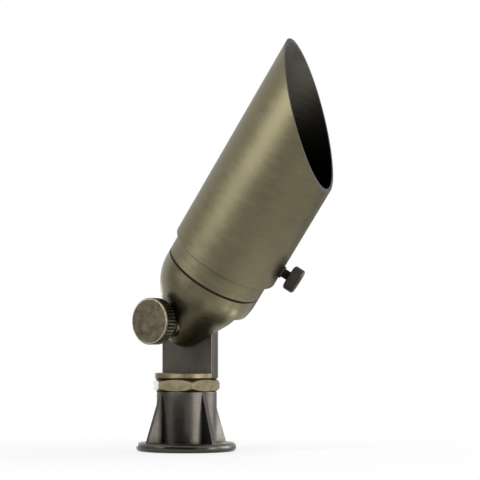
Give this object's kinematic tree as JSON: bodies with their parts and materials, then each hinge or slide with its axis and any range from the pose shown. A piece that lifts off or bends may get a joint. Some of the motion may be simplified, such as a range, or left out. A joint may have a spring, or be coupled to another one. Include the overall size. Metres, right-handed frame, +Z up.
{
  "type": "landscape spotlight",
  "caption": "Garden spotlight with a tilting cylindrical lamp head, a sliding slant-cut glare shroud and a round ribbed foot with a threaded socket for a stake or pipe.",
  "frame": {"origin": "centre of the foot's underside, at the mouth of the stake socket", "axes": "+Z up along the foot and the stem, +X the way the head leans, -Y the side of the tilt knob"},
  "size_m": [0.1214, 0.0615, 0.2178],
  "materials": {
    "bronze": "antique bronze, brushed round the axis, satin",
    "dark_bronze": "dark antique bronze, satin",
    "worn_brass": "antique bronze rubbed to lighter brass, brushed",
    "foot_plastic": "moulded, dark bronze colour, satin",
    "steel": "plain stainless",
    "rubber": "black, matt",
    "silicone": "lead insulation, matt",
    "socket_ceramic": "off-white ceramic, matt",
    "lamp_plastic": "white, smooth",
    "lamp_metal": "cast, fine satin",
    "board": "white solder mask",
    "emitter": "yellow light source",
    "clear_plastic": "clear moulded acrylic",
    "clear_glass": "clear"
  },
  "bodies": {
    "foot": {"base": "foot_plastic", "lead_grommet": "rubber"},
    "stem": {"stem": "dark_bronze", "knuckle_gasket": "rubber"},
    "lock_nut": {"lock_nut": "worn_brass"},
    "head": {"rear_cap": "bronze", "wire_seal": "rubber", "socket_bracket": "steel", "bracket_screws": "steel", "lamp_socket": "socket_ceramic", "socket_screws": "steel", "socket_leads": "silicone", "lamp_pins": "steel", "lamp_base": "lamp_plastic", "lamp_shell": "lamp_metal", "led_board": "board", "led_emitters": "emitter", "lamp_optic": "clear_plastic", "lamp_lens": "clear_glass", "pivot_washer": "dark_bronze"},
    "knob": {"pivot_knob": "worn_brass", "pivot_stud": "steel"},
    "seal_ring": {"housing_gasket": "rubber"},
    "housing": {"housing": "bronze", "lens_gasket": "rubber", "front_lens": "clear_glass", "lens_ring": "dark_bronze"},
    "shroud": {"shroud": "bronze", "shroud_insert": "dark_bronze"},
    "thumbscrew": {"shroud_thumbscrew": "dark_bronze"}
  },
  "joints": [
    {"name": "pan", "type": "hinge", "parent": "foot", "child": "stem", "pos_m": [0, 0, 0.0326], "axis": [0, 0, 1], "range_deg": [-180, 180]},
    {"name": "lock_nut_turn", "type": "hinge", "parent": "stem", "child": "lock_nut", "pos_m": [0, 0, 0.0326], "axis": [0, 0, 1], "range_deg": [0, 95]},
    {"name": "head_tilt", "type": "hinge", "parent": "stem", "child": "head", "pos_m": [0, 0, 0.0703], "axis": [0, 1, 0], "range_deg": [-127.5, 52.5]},
    {"name": "knob_turn", "type": "hinge", "parent": "head", "child": "knob", "pos_m": [0, 0, 0.0703], "axis": [0, -1, 0], "range_deg": [0, 720]},
    {"name": "housing_travel", "type": "slide", "parent": "head", "child": "seal_ring", "axis": [0.6088, 0, 0.7934], "range_m": [0, 0.00452]},
    {"name": "housing_turn", "type": "hinge", "parent": "seal_ring", "child": "housing", "pos_m": [0, 0, 0.0703], "axis": [0.6088, 0, 0.7934], "range_deg": [0, 1080]},
    {"name": "shroud_slide", "type": "slide", "parent": "housing", "child": "shroud", "axis": [0.6088, 0, 0.7934], "range_m": [-0.008, 0.03]},
    {"name": "thumbscrew_turn", "type": "hinge", "parent": "shroud", "child": "thumbscrew", "pos_m": [0.03296, 0, 0.11326], "axis": [0.7037, 0.4617, -0.54], "continuous": true}
  ],
  "couplings": [
    {"joint": "housing_travel", "follows": "housing_turn", "m_per_rad": 0.00023873}
  ]
}
